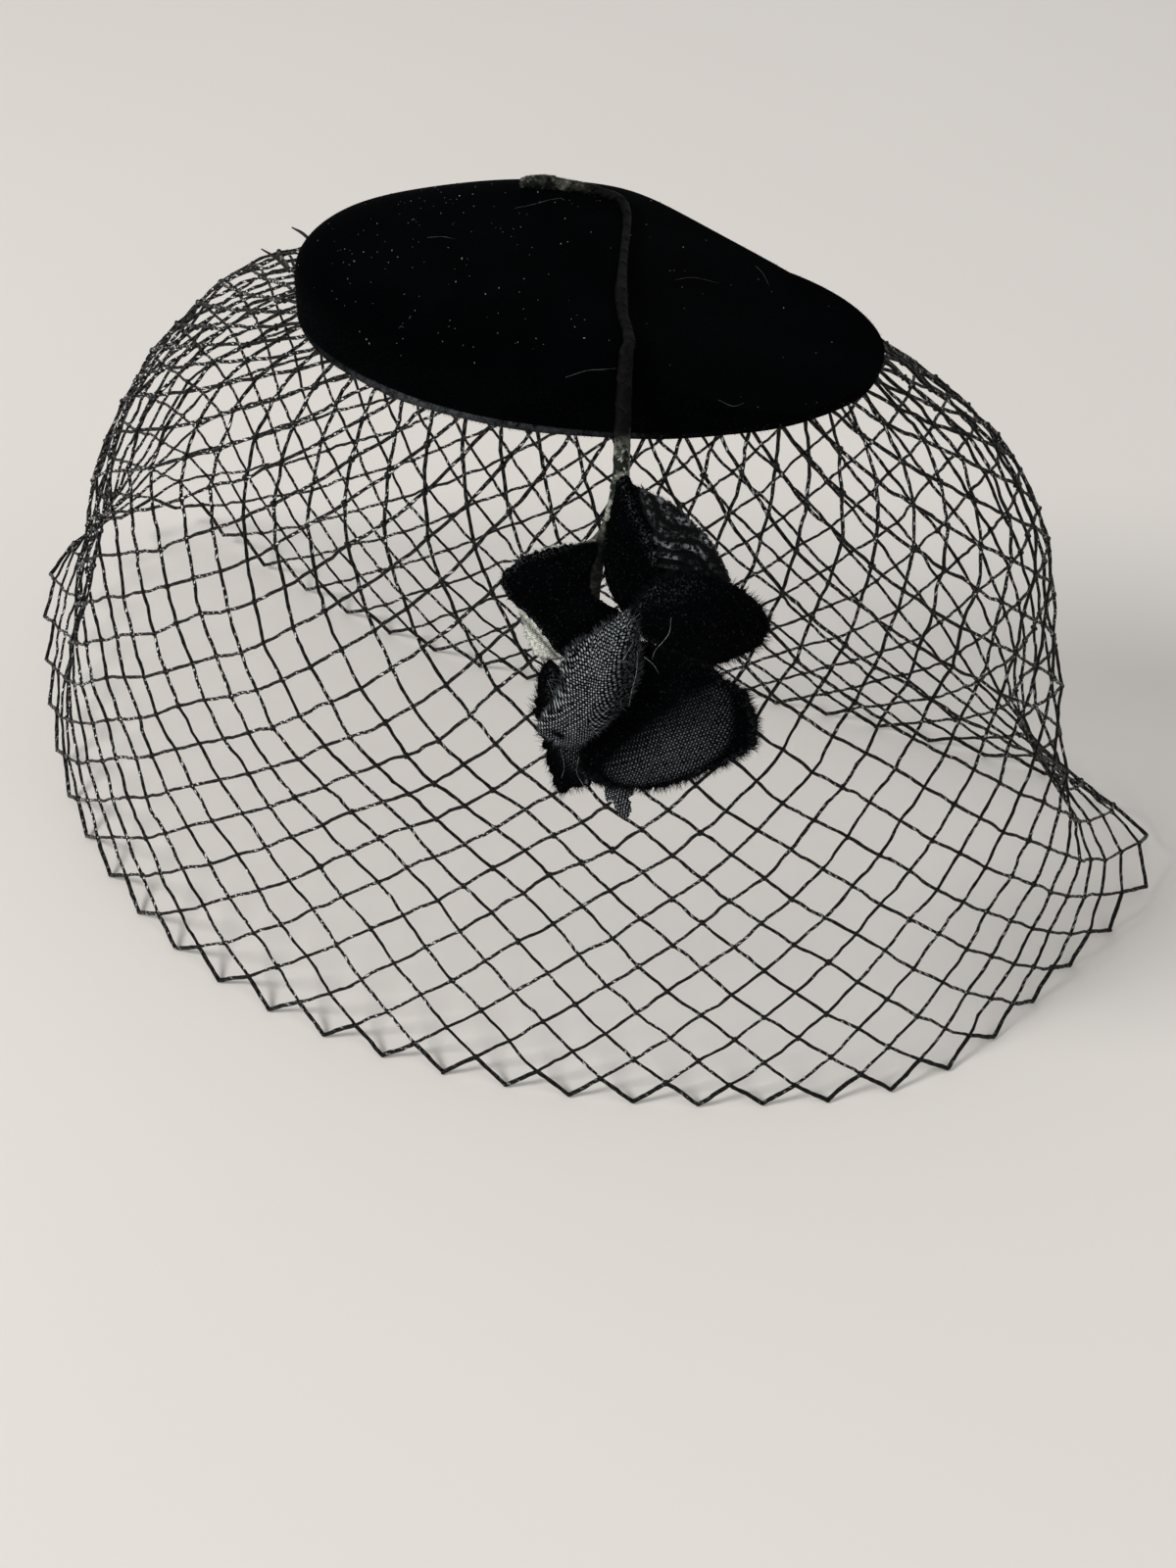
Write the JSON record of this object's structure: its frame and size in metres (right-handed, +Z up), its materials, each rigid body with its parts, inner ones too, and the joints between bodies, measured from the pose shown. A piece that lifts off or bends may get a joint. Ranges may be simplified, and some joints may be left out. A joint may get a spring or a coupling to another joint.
{
  "type": "fascinator",
  "caption": "Small oval creased velvet hat with a wide-mesh birdcage veil and a hanging spray of velvet petals; held in the hair by a comb.",
  "frame": {"origin": "on the surface that it stands on, under the middle of its whole footprint", "axes": "+X along the long axis of the base, from the high end to the end past the crease; +Y to the back, away from the spray; +Z up"},
  "size_m": [0.348, 0.2058, 0.2006],
  "materials": {
    "velvet": "black velvet pile",
    "net": "twisted rayon thread with a slight glint",
    "stem_tape": "grey-green florist's tape over wire",
    "comb": "plain dark plastic",
    "petal_velvet": "black velvet with a fuzzy cut edge",
    "petal_crushed": "crinkled black cloth with a sheen",
    "petal_backing": "grey-black woven backing",
    "leaf_cloth": "pale grey-green cloth"
  },
  "bodies": {
    "root": {"velvet_base": "velvet", "veil": "net", "stem": "stem_tape", "stem_branch": "stem_tape", "hair_comb": "comb", "petal_crushed": "petal_crushed", "petal_inner": "petal_velvet", "petal_right": "petal_velvet", "petal_left": "petal_velvet", "petal_left_back": "leaf_cloth", "petal_folded": "petal_backing", "petal_bottom": "petal_velvet", "petal_low_left": "petal_velvet", "cloth_tab": "petal_backing"}
  },
  "joints": []
}
